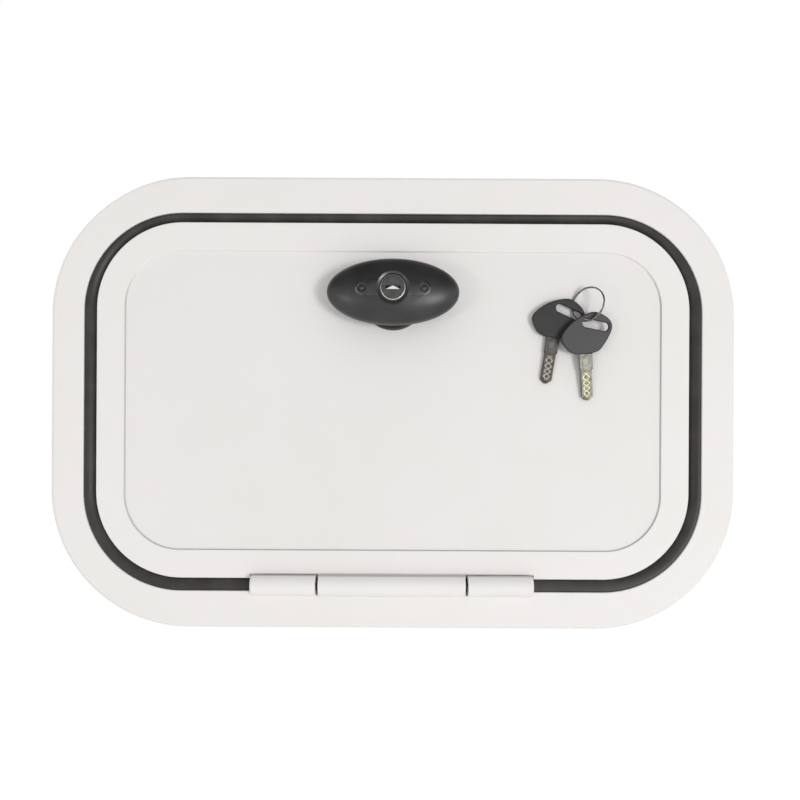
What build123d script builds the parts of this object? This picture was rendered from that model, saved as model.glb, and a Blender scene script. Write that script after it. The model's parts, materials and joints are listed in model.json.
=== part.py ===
from build123d import *
import math
import os

os.makedirs("parts", exist_ok=True)

# All sizes in mm. X runs along the hinge, Z up, Y into the wall, and y = 0 is the wall's outer face.
# Frame moulding: flange on the wall, collar through it, lip behind the door
FRAME_W = 500.0
FRAME_H = 330.0
FRAME_CORNER_R = 101.0
FLANGE_SIDE = 23.9
FLANGE_ENDS = 26.8
FLANGE_T = 6.0
FLANGE_EDGE_R = 4.0
REBATE_CORNER_R = 72.0
REBATE_EDGE_R = 0.8
COLLAR_WALL = 3.0
COLLAR_TAIL = 7.0
LIP_T = 3.0
LIP_REACH = 21.0

# Rubber seal, sunk below the flange's face
SEAL_SUNK = 3.0
SEAL_CROWN_R = 2.4
SEAL_FOOT_T = 2.6
SEAL_GAP = 0.35
SEAL_SEAT_GAP = 0.05
RIM_GAP = 0.9

# Door: drafted tray with a sunk field, closed by a liner
GAP_SIDE = 9.4
GAP_TOP = 7.0
GAP_BOTTOM = 9.3
DOOR_CORNER_R = 63.0
DOOR_PROUD = 0.5
DOOR_EDGE_R = 1.0
SKIRT_DEPTH = 20.5
SKIRT_DRAFT = 5.0
SKIRT_WALL = 3.0
SKIN_T = 4.5
BORDER = 21.2
FIELD_CORNER_R = 40.0
FIELD_DEPTH = 1.5
FIELD_SLOPE = 30.0
LINER_T = 2.5
PAN_BORDER = 25.0
PAN_CORNER_R = 38.0
PAN_DEPTH = 3.5
PAN_EDGE_R = 1.5

# Hinge
HINGE_LIFT = 3.0
BARREL_R = 7.9
BARREL_HALF = 102.4
KNUCKLE_HALF = 53.6
KNUCKLE_GAP = 1.2
BARREL_END_R = 0.8
BARREL_CLEAR = 0.5
PIN_R = 2.0
PIN_RECESS = 1.0
RUN_GAP = 0.06

# Handle and lock, on one axis below the door's top edge
AXIS_DROP = 54.8
BASE_R = 23.6
BASE_T = 3.0
BASE_EDGE_R = 1.0
NECK_FOOT_R = 17.0
NECK_TOP_R = 15.0
NECK_HEIGHT = 10.0
BASE_HOLE_R = 7.0
GRIP_SEMI = (47.0, 23.4)
GRIP_GAP = 0.5
# Height in front of the grip's widest level, and its share of the full outline there
GRIP_LEVELS = [
    (-4.0, 0.955), (0.0, 1.0), (4.4, 0.975), (8.6, 0.865), (11.4, 0.7), (13.0, 0.54), (13.8, 0.42),
]
WING_LENGTH = 52.4
WING_WIDTH = 10.7
SURROUND_R = 11.6
SURROUND_PROUD = 0.5
SURROUND_T = 5.0
SURROUND_RIM = 1.3
RIM_EDGE_R = 0.5
DIMPLE_INSET = 4.6
DIMPLE_R = 1.9
DIMPLE_DEPTH = 1.2
PLUG_R = 9.5
PLUG_LENGTH = 9.0
PLUG_SUNK = 0.3
KEYWAY_LENGTH = 10.6
KEYWAY_WIDTH = 2.6
KEYWAY_DEPTH = 4.0
SHUTTER_SUNK = 0.8

# Latch through the door
SPINDLE_R = 6.0
STUD_R = 4.0
STUD_END = 1.5
TUBE_R = 10.0
TUBE_GAP = 0.1
TUBE_END = 0.5
BACK_NUT_FLATS = 27.0
BACK_NUT_T = 4.0
CAM_CLEAR = 2.5
CAM_T = 3.0
CAM_WIDTH = 18.0
CAM_HOOK = 9.0
CAM_NUT_FLATS = 13.0
CAM_NUT_T = 5.0

# Keys: two alike. The bow's outline runs from its foot round to its foot.
BOW_FOOT = (-7.0, 5.0, 0.6)
BOW_POINTS = [
    (11.5, 3.6), (19.6, 16.0), (18.4, 23.6), (9.7, 29.4),
    (2.7, 28.6), (-8.0, 21.2), (-17.0, 12.6), (-13.0, 3.8),
]
BOW_T = 3.0
BOW_SLOT = ((1.2, 22.4), (14.6, 18.8))
BOW_SLOT_WIDTH = 6.0
SHANK_WIDTH = 9.6
SHANK_LENGTH = 11.5
SHANK_T = 2.6
SHANK_PAD = 4.4
SHANK_PAD_DEPTH = 0.4
BLADE_WIDTH = 8.2
BLADE_LENGTH = 33.0
BLADE_T = 2.4
BLADE_TIP = 2.6
BLADE_TIP_WIDTH = 2.0
TRACK_WAVES = [(-1.2, -13.5), (1.5, -16.5), (-1.4, -20.0), (1.2, -23.5), (-1.0, -27.0), (0.6, -30.0)]
TRACK_WIDTH = 1.6
TRACK_DEPTH = 0.5
KEY_REST = 0.05
# Foot of each bow in x and z, lean in the door's plane, tilt out of it, roll about the blade
FRONT_KEY = (139.4, 34.9, -4.3, 8.717, -4.166)
REAR_KEY = (116.4, 47.1, 9.1, 2.899, -2.144)
RING_R = 12.4
RING_WIRE_R = 0.6
# The ring's centre in x, its distance from the field and z, then its turn and pitch
RING_AT = (140.39, 8.826, 70.84)
RING_TURN = 39.563
RING_PITCH = -7.091

# Outlines: width, height, corner radius, height of the outline's centre above the frame's centre
FLANGE = (FRAME_W, FRAME_H, FRAME_CORNER_R, 0.0)
REBATE = (FRAME_W - 2 * FLANGE_SIDE, FRAME_H - 2 * FLANGE_ENDS, REBATE_CORNER_R, 0.0)
DOOR_H = REBATE[1] - GAP_TOP - GAP_BOTTOM
DOOR = (REBATE[0] - 2 * GAP_SIDE, DOOR_H, DOOR_CORNER_R, (GAP_BOTTOM - GAP_TOP) / 2)
FIELD = (DOOR[0] - 2 * BORDER, DOOR[1] - 2 * BORDER, FIELD_CORNER_R, DOOR[3])
PAN = (DOOR[0] - 2 * PAN_BORDER, DOOR[1] - 2 * PAN_BORDER, PAN_CORNER_R, DOOR[3])

# Levels along Y
FLANGE_FRONT = -FLANGE_T
SEAL_CROWN = FLANGE_FRONT + SEAL_SUNK
DOOR_FRONT = FLANGE_FRONT - DOOR_PROUD
FIELD_FLOOR = DOOR_FRONT + FIELD_DEPTH
SKIRT_BACK = DOOR_FRONT + SKIRT_DEPTH
LINER_BACK = SKIRT_BACK + LINER_T
PAN_BACK = LINER_BACK + PAN_DEPTH
LIP_FRONT = LINER_BACK + RIM_GAP + SEAL_FOOT_T
LIP_BACK = LIP_FRONT + LIP_T
COLLAR_BACK = LIP_BACK + COLLAR_TAIL
HINGE_Y = FLANGE_FRONT - HINGE_LIFT
NUT_BACK = PAN_BACK + BACK_NUT_T
CAM_FRONT = LIP_BACK + CAM_CLEAR
CAM_BACK = CAM_FRONT + CAM_T
BASE_FRONT = FIELD_FLOOR - BASE_T
NECK_FRONT = BASE_FRONT - NECK_HEIGHT
GRIP_BACK = NECK_FRONT - GRIP_GAP
GRIP_Y = GRIP_BACK + GRIP_LEVELS[0][0]
CROWN = GRIP_Y - GRIP_LEVELS[-1][0]
SURROUND_BACK = CROWN + SURROUND_T
PLUG_FRONT = CROWN - SURROUND_RIM + PLUG_SUNK
PLUG_BACK = PLUG_FRONT + PLUG_LENGTH

# Heights along Z
REBATE_FOOT_Z = -REBATE[1] / 2
DOOR_FOOT_Z = DOOR[3] - DOOR[1] / 2
HINGE_Z = REBATE_FOOT_Z + GAP_BOTTOM / 2
AXIS_Z = DOOR[3] + DOOR[1] / 2 - AXIS_DROP
OPENING = (REBATE[0] - 2 * LIP_REACH, REBATE[1] - 2 * LIP_REACH, REBATE[2] - LIP_REACH, 0.0)
CAM_REACH = OPENING[1] / 2 - AXIS_Z + CAM_HOOK
BEYOND = FRAME_W


def inset(outline, by):
    """The same outline drawn `by` further in."""
    width, height, radius, rise = outline
    return (width - 2 * by, height - 2 * by, radius - by, rise)


def front_plane(y, z):
    """A plane facing forward, with its own X along X and its own Y up."""
    return Plane((0, y, z), x_dir=(1, 0, 0), z_dir=(0, -1, 0))


def slab(outline, back, front, taper=0.0):
    """A rounded rectangle from y = back to y = front, narrowing by the taper on the way."""
    width, height, radius, rise = outline
    face = front_plane(back, rise) * RectangleRounded(width, height, radius)
    return extrude(face, amount=back - front, taper=taper)


def block(x, y, z):
    """A box between the two limits of each axis."""
    centre = Pos((x[0] + x[1]) / 2, (y[0] + y[1]) / 2, (z[0] + z[1]) / 2)
    return centre * Box(x[1] - x[0], y[1] - y[0], z[1] - z[0])


def rod(radius, x0, x1):
    """A round bar on the hinge axis."""
    plane = Plane((x0, HINGE_Y, HINGE_Z), z_dir=(1, 0, 0))
    return extrude(plane * Circle(radius), amount=x1 - x0)


def on_axis(sketch, back, front):
    """A sketch in the front view, centred on the handle's axis, from y = back forward to y = front."""
    return extrude(front_plane(back, AXIS_Z) * sketch, amount=back - front)


def front_edges(solid):
    """The edges of a solid's foremost face."""
    return solid.faces().sort_by(Axis.Y)[0].edges()


def back_edges(solid):
    """The edges of a solid's rearmost face."""
    return solid.faces().sort_by(Axis.Y)[-1].edges()


def save(name, solid):
    solid.label = name
    export_step(solid, f"parts/{name}.step")


# Frame
frame = slab(FLANGE, 0, FLANGE_FRONT)
frame = fillet(front_edges(frame), FLANGE_EDGE_R)
frame += slab(inset(REBATE, -COLLAR_WALL), COLLAR_BACK, 0)
frame -= slab(REBATE, LIP_FRONT, FLANGE_FRONT)
frame -= slab(REBATE, COLLAR_BACK, LIP_BACK)
frame -= slab(OPENING, LIP_BACK, LIP_FRONT)
inner_rim = frame.faces().sort_by(Axis.Y)[0].inner_wires()[0]
frame = fillet(inner_rim.edges(), REBATE_EDGE_R)
middle_reach = KNUCKLE_HALF + KNUCKLE_GAP / 2
frame -= rod(BARREL_R + BARREL_CLEAR, -middle_reach, middle_reach)
save("frame_moulding", frame)

# Seal: a rounded upstand in the gap, with a foot under the door's rim
seal = slab(inset(REBATE, SEAL_SEAT_GAP), LIP_FRONT, SEAL_CROWN)
seal -= slab(inset(DOOR, -SEAL_GAP), LIP_FRONT - SEAL_FOOT_T, SEAL_CROWN)
seal = fillet(front_edges(seal), SEAL_CROWN_R)
seal -= slab(OPENING, LIP_FRONT, LIP_FRONT - SEAL_FOOT_T)
seal_reach = BARREL_HALF + KNUCKLE_GAP
seal -= rod(BARREL_R + BARREL_CLEAR, -seal_reach, seal_reach)
save("rubber_seal", seal)

# Hinge: two knuckles on the frame, one on the door, and the pin
outer_x = (KNUCKLE_HALF + KNUCKLE_GAP, BARREL_HALF)
bore = rod(PIN_R + RUN_GAP, -BARREL_HALF, BARREL_HALF)
knuckle = rod(BARREL_R, *outer_x)
knuckle += block(outer_x, (HINGE_Y, FLANGE_FRONT), (HINGE_Z - BARREL_R, HINGE_Z))
knuckle = fillet(knuckle.faces().sort_by(Axis.X)[-1].edges(), BARREL_END_R)
knuckle -= block((0, BEYOND), (FLANGE_FRONT, BEYOND), (-BEYOND, REBATE_FOOT_Z))
knuckle -= bore
save("hinge_knuckle_right", knuckle)
save("hinge_knuckle_left", mirror(knuckle, Plane.YZ))

middle_x = (-KNUCKLE_HALF, KNUCKLE_HALF)
door_knuckle = rod(BARREL_R, *middle_x)
door_knuckle += block(middle_x, (HINGE_Y, DOOR_FRONT), (HINGE_Z, HINGE_Z + BARREL_R))
door_knuckle -= block((-BEYOND, BEYOND), (DOOR_FRONT, BEYOND), (DOOR_FOOT_Z, BEYOND))
save("door_hinge_knuckle", door_knuckle - bore)
pin_half = BARREL_HALF - PIN_RECESS
save("hinge_pin", rod(PIN_R, -pin_half, pin_half))

# Door skin: tapered tray, hollow behind, with the sunk field and room for the frame's knuckles
skin = slab(DOOR, DOOR_FRONT, SKIRT_BACK, taper=SKIRT_DRAFT)
rim = skin.faces().sort_by(Axis.Y)[-1]
skin = fillet(front_edges(skin), DOOR_EDGE_R)
draft = SKIN_T * math.tan(math.radians(SKIRT_DRAFT))
skin -= slab(inset(DOOR, SKIRT_WALL + draft), DOOR_FRONT + SKIN_T, SKIRT_BACK, taper=SKIRT_DRAFT)
skin -= slab(FIELD, FIELD_FLOOR, DOOR_FRONT, taper=-FIELD_SLOPE)
relief = rod(BARREL_R + BARREL_CLEAR, middle_reach, seal_reach)
skin -= relief + mirror(relief, Plane.YZ)
tube_hole = on_axis(Circle(TUBE_R + TUBE_GAP), COLLAR_BACK, DOOR_FRONT)
save("door_outer_skin", skin - tube_hole)

# Liner: a rim on the skirt's back edge and a shallow pan
pan = fillet(back_edges(slab(PAN, PAN_BACK, LINER_BACK)), PAN_EDGE_R)
liner = extrude(rim, amount=LINER_T, dir=(0, 1, 0)) + pan
liner -= slab(inset(PAN, LINER_T), PAN_BACK - LINER_T, SKIRT_BACK)
save("door_inner_liner", liner - tube_hole)

# Handle base with its neck
base = fillet(front_edges(on_axis(Circle(BASE_R), FIELD_FLOOR, BASE_FRONT)), BASE_EDGE_R)
foot = front_plane(BASE_FRONT, AXIS_Z) * Circle(NECK_FOOT_R)
base += loft([foot, front_plane(NECK_FRONT, AXIS_Z) * Circle(NECK_TOP_R)])
save("handle_base", base - on_axis(Circle(BASE_HOLE_R), FIELD_FLOOR, NECK_FRONT))


def dome(proud):
    """The grip's rounded body, standing `proud` of its true front and sides."""
    rings = []
    for height, share in GRIP_LEVELS:
        reach = height + proud * (height > 0)
        outline = Ellipse(*((semi + proud) * share for semi in GRIP_SEMI))
        rings.append(front_plane(GRIP_Y - reach, AXIS_Z) * outline)
    return loft(rings)


# Oval grip, the lock's surround let into it, and the lock plug
wings = SlotOverall(WING_LENGTH, WING_WIDTH) + Circle(SURROUND_R)
plug_bore = on_axis(Circle(PLUG_R + RUN_GAP), PLUG_BACK + GRIP_GAP, CROWN - SURROUND_T)
grip = dome(0) - on_axis(offset(wings, RUN_GAP), SURROUND_BACK, CROWN)
save("handle_grip", grip - plug_bore)

surround = dome(SURROUND_PROUD) & on_axis(wings, SURROUND_BACK, CROWN - SURROUND_T)
rim_ring = on_axis(Circle(SURROUND_R), SURROUND_BACK, CROWN - SURROUND_RIM)
surround += fillet(front_edges(rim_ring), RIM_EDGE_R)
dimple_x = WING_LENGTH / 2 - DIMPLE_INSET
for side in (-1, 1):
    dimple = Pos(side * dimple_x, 0) * Circle(DIMPLE_R)
    surround -= on_axis(dimple, CROWN + DIMPLE_DEPTH, CROWN - SURROUND_T)
save("lock_surround", surround - plug_bore)

plug = fillet(front_edges(on_axis(Circle(PLUG_R), PLUG_BACK, PLUG_FRONT)), RIM_EDGE_R)
keyway = SlotOverall(KEYWAY_LENGTH, KEYWAY_WIDTH)
keyway_back = PLUG_FRONT + KEYWAY_DEPTH
save("lock_plug", plug - on_axis(keyway, keyway_back, PLUG_FRONT))
save("keyway_shutter", on_axis(offset(keyway, -RUN_GAP), keyway_back, PLUG_FRONT + SHUTTER_SUNK))

# Latch: threaded tube and its nut on the door, spindle with cam and nut on the handle
tube = Circle(TUBE_R) - Circle(SPINDLE_R + RUN_GAP)
save("latch_body_tube", on_axis(tube, NUT_BACK + TUBE_END, FIELD_FLOOR))
back_nut = RegularPolygon(BACK_NUT_FLATS / 2, 6, major_radius=False) - Circle(TUBE_R + RUN_GAP)
save("latch_back_nut", on_axis(back_nut, NUT_BACK, PAN_BACK))
stud_back = CAM_BACK + CAM_NUT_T + STUD_END
spindle = on_axis(Circle(SPINDLE_R), CAM_FRONT, GRIP_BACK)
save("latch_spindle", spindle + on_axis(Circle(STUD_R), stud_back, CAM_FRONT))
arm = CAM_REACH - CAM_WIDTH / 2
cam = Pos(-arm / 2, 0) * SlotCenterToCenter(arm, CAM_WIDTH) - Circle(STUD_R + RUN_GAP)
save("latch_cam", on_axis(cam, CAM_BACK, CAM_FRONT))
cam_nut = RegularPolygon(CAM_NUT_FLATS / 2, 6, major_radius=False) - Circle(STUD_R + RUN_GAP)
save("cam_nut", on_axis(cam_nut, CAM_BACK + CAM_NUT_T, CAM_BACK))


def flat(sketch, thickness):
    """A sketch in the front view, made `thickness` thick about y = 0."""
    return extrude(front_plane(thickness / 2, 0) * sketch, amount=thickness)


def key(name, place):
    """A key with its tip on the door's field."""
    x, z, lean, tilt, roll = place
    left, right, foot = BOW_FOOT
    edge = Spline((right, foot), *BOW_POINTS, (left, foot))
    bow = make_face(edge + Line((left, foot), (right, foot)))
    start, end = BOW_SLOT
    middle = ((start[0] + end[0]) / 2, (start[1] + end[1]) / 2)
    bow = flat(bow - SlotCenterPoint(middle, end, BOW_SLOT_WIDTH), BOW_T)
    half = BLADE_WIDTH / 2
    shoulder = BLADE_TIP - BLADE_LENGTH
    tip = BLADE_TIP_WIDTH / 2
    side = [(half, 0), (half, shoulder), (tip, -BLADE_LENGTH)]
    other_side = [(-x, y) for x, y in reversed(side)]
    blade = flat(make_face(Polyline(*side, *other_side, close=True)), BLADE_T)
    blade += flat(Pos(0, foot - SHANK_LENGTH / 2) * Rectangle(SHANK_WIDTH, SHANK_LENGTH), SHANK_T)
    pad = Pos(0, foot - SHANK_LENGTH / 2) * Rectangle(SHANK_PAD, SHANK_PAD)
    blade -= extrude(front_plane(SHANK_PAD_DEPTH - SHANK_T / 2, 0) * pad, amount=SHANK_T)
    track = trace(Spline(*TRACK_WAVES), TRACK_WIDTH)
    blade -= extrude(front_plane(TRACK_DEPTH - BLADE_T / 2, 0) * track, amount=BLADE_T)
    turned = Rot(0, lean, 0) * Rot(tilt, 0, 0) * Rot(0, 0, -roll)
    depth = max((turned * piece).bounding_box().max.Y for piece in (bow, blade))
    spot = Pos(x, FIELD_FLOOR - KEY_REST - depth, z) * turned
    save(f"{name}_bow", spot * bow)
    save(f"{name}_blade", spot * blade)


# Keys on their ring, lying against the door's field
key("front_key", FRONT_KEY)
key("rear_key", REAR_KEY)
ring_x, ring_out, ring_z = RING_AT
ring = Rot(0, 0, -RING_TURN) * Rot(RING_PITCH, 0, 0) * Rot(90, 0, 0) * Torus(RING_R, RING_WIRE_R)
save("key_ring", Pos(ring_x, FIELD_FLOOR - ring_out, ring_z) * ring)
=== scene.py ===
"""Luggage access door of a caravan.

Frame, seal, hinged door, turning handle with lock, and two keys on a ring.
"""

import json
import math
from typing import NamedTuple

import bmesh
import bpy
from bpy.props import FloatProperty, FloatVectorProperty, PointerProperty
from mathutils import Matrix, Vector


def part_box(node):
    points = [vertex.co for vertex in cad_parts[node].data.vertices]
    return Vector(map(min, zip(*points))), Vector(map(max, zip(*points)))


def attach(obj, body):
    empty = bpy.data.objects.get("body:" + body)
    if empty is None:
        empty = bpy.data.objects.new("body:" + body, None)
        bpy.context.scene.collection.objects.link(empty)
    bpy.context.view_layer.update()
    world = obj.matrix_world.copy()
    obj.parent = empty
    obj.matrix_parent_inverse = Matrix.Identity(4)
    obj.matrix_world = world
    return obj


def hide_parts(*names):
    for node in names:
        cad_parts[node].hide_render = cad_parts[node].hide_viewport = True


bl_info = {
    "name": "Luggage Access Door",
    "version": (1, 0, 0),
    "blender": (4, 5, 0),
    "location": "View3D > Sidebar > Luggage Door",
    "description": "Builds a caravan's luggage door with its handle, lock and keys",
    "category": "Add Mesh",
}

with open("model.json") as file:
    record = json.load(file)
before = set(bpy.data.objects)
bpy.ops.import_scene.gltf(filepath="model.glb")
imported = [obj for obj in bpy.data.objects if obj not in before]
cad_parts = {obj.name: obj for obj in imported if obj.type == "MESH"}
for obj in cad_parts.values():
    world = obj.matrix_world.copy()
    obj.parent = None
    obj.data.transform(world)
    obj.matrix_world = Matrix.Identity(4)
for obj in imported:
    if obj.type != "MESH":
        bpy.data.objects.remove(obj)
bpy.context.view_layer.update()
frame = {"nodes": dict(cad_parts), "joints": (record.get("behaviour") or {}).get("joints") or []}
NODES = frame["nodes"]
JOINTS = {joint["name"]: joint for joint in frame["joints"]}
HINGE_AXIS = Vector(JOINTS["door_hinge"]["pos_m"])
HANDLE_AXIS = Vector(JOINTS["handle_turn"]["pos_m"])

MM = 0.001
WELD = 0.0005 * MM
SLIVER = 0.0002 * MM
# Room between two parts that fit together
FIT = 0.06 * MM
CORNER_STEPS = 28
ROUNDING_STEPS = 5
TURN_STEPS = 96
KNUCKLE_STEPS = 180
SHARP_ANGLE = math.radians(32)
# The picture's side, and in its pixels the door's middle line and the lens's upward shift
IMAGE_SIDE = 800
MIDDLE_COLUMN = 392.4
UPWARD_SHIFT = 80.0


# Settings that a user would change
def number(name, description, default, **kind):
    return FloatProperty(name=name, description=description, default=default, **kind)


def length(name, description, default):
    """A size in metres."""
    return number(name, description, default, precision=5, subtype="DISTANCE", unit="LENGTH")


def angle(name, description, degrees):
    return number(name, description, math.radians(degrees), subtype="ANGLE")


def share(name, description, default):
    return number(name, description, default, min=0.0, soft_max=1.0)


def power(name, description, default):
    """The power of a rounded section, 2 for an oval one."""
    return number(name, description, default, min=0.0, soft_max=6.0)


def watts(name, description, default):
    return number(name, description, default, min=0.0, unit="POWER")


def colour(name, description, *paint):
    return FloatVectorProperty(
        name=name, description=description, default=(*paint, 1.0),
        size=4, min=0.0, max=1.0, subtype="COLOR",
    )


class FrameSettings(bpy.types.PropertyGroup):
    corner_radius: length("Corner radius", "Outer corners of the flange", 101 * MM)
    edge_radius: length("Edge radius", "Round on the flange's outer edge", 3 * MM)
    rebate_radius: length("Rebate radius", "Corners of the recess that takes the door", 72 * MM)
    rim_radius: length("Rim radius", "Round on the flange's inner edge", 0.8 * MM)
    collar_wall: length("Collar wall", "Thickness of the collar through the wall", 3 * MM)
    lip_thickness: length("Lip thickness", "Thickness of the lip behind the door", 3 * MM)
    lip_reach: length("Lip reach", "Width of the lip behind the door", 21 * MM)
    plastic: colour("White plastic", "Main colour of the white mouldings", 0.84, 0.815, 0.806)
    plastic_shade: colour("White drift", "Colour the white drifts towards", 0.825, 0.802, 0.784)


class SealSettings(bpy.types.PropertyGroup):
    seat_gap: length("Seat gap", "Room between the seal and the rebate's wall", 0.05 * MM)
    door_gap: length("Door gap", "Room between the seal and the door's edge", 0.35 * MM)
    crest_sunk: length("Crest depth", "Depth of the bulb's crest below the flange's face", 0.9 * MM)
    crest_place: share("Crest place", "Where the crest lies between the flange and the door", 0.18)
    outer_power: power("Outer power", "Power of the bulb's section to the flange", 3.0)
    inner_power: power("Inner power", "Power of the bulb's section to the door", 1.7)
    outer_fall: length("Outer fall", "How far the bulb falls away to the flange", 1.0 * MM)
    inner_fall: length("Inner fall", "How far the bulb falls away to the door", 6.0 * MM)
    low_fall: length("Lower fall", "Fall to the door on the hinge side, pressed flatter", 1.5 * MM)
    foot_thickness: length("Foot thickness", "Thickness of the foot under the door's rim", 2.6 * MM)
    rubber: colour("Rubber", "Colour of the seal", 0.031, 0.0298, 0.0283)
    bloom: colour("Rubber bloom", "Paler bloom on the rubber", 0.05, 0.048, 0.046)


class DoorSettings(bpy.types.PropertyGroup):
    corner_radius: length("Corner radius", "Outer corners of the door", 63 * MM)
    edge_radius: length("Edge radius", "Round on the door's front edge", 1.0 * MM)
    border: length("Border", "Width of the border round the sunk field", 21.2 * MM)
    field_radius: length("Field radius", "Corners of the sunk field", 40 * MM)
    field_depth: length("Field depth", "How far the field is sunk", 1.5 * MM)
    field_slope: angle("Field slope", "Slope of the field's wall", 30)
    field_edge: length("Field edge", "Round on the field's upper edge", 0.25 * MM)
    skirt_draft: angle("Skirt draft", "Draft of the door's skirt", 5)
    skirt_wall: length("Skirt wall", "Thickness of the skirt", 3 * MM)
    skin: length("Skin", "Thickness of the front", 4.5 * MM)
    field_tone: share("Field tone", "White of the field as a share of the border's", 0.975)
    # Painted shade: the duller white of the field's wall and of the hinge's crease
    step_tone: share("Step tone", "White of the field's wall as a share of the border's", 0.67)


class HingeSettings(bpy.types.PropertyGroup):
    clearance: length("Clearance", "Room round a barrel", 0.35 * MM)
    half_gap: length("Half gap", "Half of the gap between two knuckles", 0.6 * MM)
    open_gap: length("Open gap", "How far a knuckle's end stands back at a gap", 0.45 * MM)
    outer_slim: length("Outer slimming", "How much slimmer the outer knuckles are", 0.2 * MM)
    end_round: length("End round", "Round on the outer ends", 1.8 * MM)
    inner_round: length("Inner round", "Round on the ends at the gaps", 0.35 * MM)
    root_fillet: length("Root fillet", "Fillet at the knuckle's root", 1.6 * MM)
    bore_radius: length("Bore", "Radius of the pin's bore", 2.06 * MM)


class HandleSettings(bpy.types.PropertyGroup):
    base_thickness: length("Base thickness", "Thickness of the base's flange", 3 * MM)
    base_edge: length("Base edge", "Round on the base's edge", 1.2 * MM)
    neck_foot: length("Neck foot", "Radius of the neck at the base", 17 * MM)
    neck_top: length("Neck top", "Radius of the neck under the grip", 15 * MM)
    neck_fillet: length("Neck fillet", "Fillet at the neck's foot", 1.6 * MM)
    spindle_hole: length("Spindle hole", "Radius of the base's hole", 7 * MM)
    belly: length("Belly", "Height of the grip's widest level above its underside", 4 * MM)
    dome_height: length("Dome height", "Height of the full dome above the widest level", 14.9 * MM)
    dome_power: power("Dome fullness", "Power of the dome's section", 2.4)
    lock_bore: length("Lock bore", "Radius of the grip's hole for the lock", 10.6 * MM)
    grip_black: colour("Grip", "Colour of the grip", 0.0195, 0.0192, 0.0195)
    grip_worn: colour("Grip, worn", "Paler colour of rubbed places", 0.036, 0.0355, 0.036)


class LockSettings(bpy.types.PropertyGroup):
    wing_proud: length("Wing height", "How far the wings stand proud", 0.6 * MM)
    wing_half_width: length("Wing half width", "Half of the wings' width", 5.35 * MM)
    wing_edge: length("Wing edge", "Width of the round along the wings' edge", 0.9 * MM)
    rim_round: length("Rim round", "Round on the rim's outer edge", 0.2 * MM)
    funnel_depth: length("Funnel depth", "Depth of the dished ring inside the rim", 0.6 * MM)
    funnel_land: length("Funnel land", "Width of the rim's flat top", 0.05 * MM)
    throat_gap: length("Throat gap", "Gap round the lock's face", 0.15 * MM)
    pit_inset: length("Pit inset", "Distance of a pit from the wing's end", 4.6 * MM)
    pit_radius: length("Pit radius", "Radius of the pits in the wings", 2.9 * MM)
    pit_depth: length("Pit depth", "Depth of the pits", 1.15 * MM)
    plug_chamfer: length("Plug chamfer", "Chamfer round the lock's face", 0.6 * MM)
    face_slim: length("Face slimming", "How much slimmer the plug is at its face", 0.75 * MM)
    face_neck: length("Face neck", "Length of the plug's slimmer front", 1.6 * MM)
    keyway_depth: length("Keyway depth", "Depth of the keyway", 4 * MM)
    zinc: colour("Lock zinc", "Colour of the lock's face", 0.07, 0.071, 0.069)


class KeySettings(bpy.types.PropertyGroup):
    bow_thickness: length("Bow thickness", "Thickness of a key's bow", 3 * MM)
    bow_round: length("Bow round", "Round on the bow's edges", 0.8 * MM)
    slot_half_width: length("Slot half width", "Half of the slot's width in the bow", 3 * MM)
    blade_thickness: length("Blade thickness", "Thickness of the blade", 2.4 * MM)
    blade_half_width: length("Blade half width", "Half of the blade's width", 4.1 * MM)
    blade_length: length("Blade length", "Blade from the bow's foot to its tip", 33 * MM)
    shank_half_width: length("Shank half width", "Half of the shank's width", 4.8 * MM)
    shank_length: length("Shank length", "Length of the shank", 11.5 * MM)
    track_depth: length("Track depth", "Depth of the milled track", 0.5 * MM)
    ring_radius: length("Ring radius", "Radius of the split ring", 12.4 * MM)
    ring_wire: length("Ring wire", "Radius of the split ring's wire", 0.5 * MM)
    # The rear key's colours are darker copies of the front key's: painted shade on the rear key
    front_head: colour("Front bow", "Colour of the front key's bow", 0.03, 0.0285, 0.03)
    rear_head: colour("Rear bow", "Colour of the rear key's bow", 0.018, 0.018, 0.0185)
    front_nickel: colour("Front blade", "Colour of the front key's blade", 0.215, 0.206, 0.18)
    rear_nickel: colour("Rear blade", "Colour of the rear key's blade", 0.108, 0.099, 0.088)
    front_brass: colour("Front track", "Colour of the front key's milled track", 0.35, 0.338, 0.215)
    rear_brass: colour("Rear track", "Colour of the rear key's milled track", 0.32, 0.291, 0.252)


class StageSettings(bpy.types.PropertyGroup):
    camera_distance: length("Camera distance", "From the wall's face to the camera", 0.56)
    camera_left: length("Camera left", "How far the camera stands left of the middle", -0.0056)
    camera_low: length("Camera low", "How far the camera is below the middle", 0.0566)
    view_width: length("View width", "Width of the picture at the wall's face", 0.5911)
    roll: angle("Camera roll", "Turn of the camera about its line of sight", 0.3)
    floor_drop: length("Floor drop", "Floor below the middle of the door", 2.2)
    key_power: watts("Key power", "Power of the key lamp at the lower right", 100.0)
    glint_power: watts("Glint power", "Power of the small lamp at the left", 6.5)
    rim_power: watts("Rim power", "Power of the lamp behind, over the upper left edge", 40.0)
    room_light: share("Room light", "Level of the even light of the room", 0.6)


class DoorProject(bpy.types.PropertyGroup):
    frame: PointerProperty(type=FrameSettings)
    seal: PointerProperty(type=SealSettings)
    door: PointerProperty(type=DoorSettings)
    hinge: PointerProperty(type=HingeSettings)
    handle: PointerProperty(type=HandleSettings)
    lock: PointerProperty(type=LockSettings)
    keys: PointerProperty(type=KeySettings)
    stage: PointerProperty(type=StageSettings)


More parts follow.
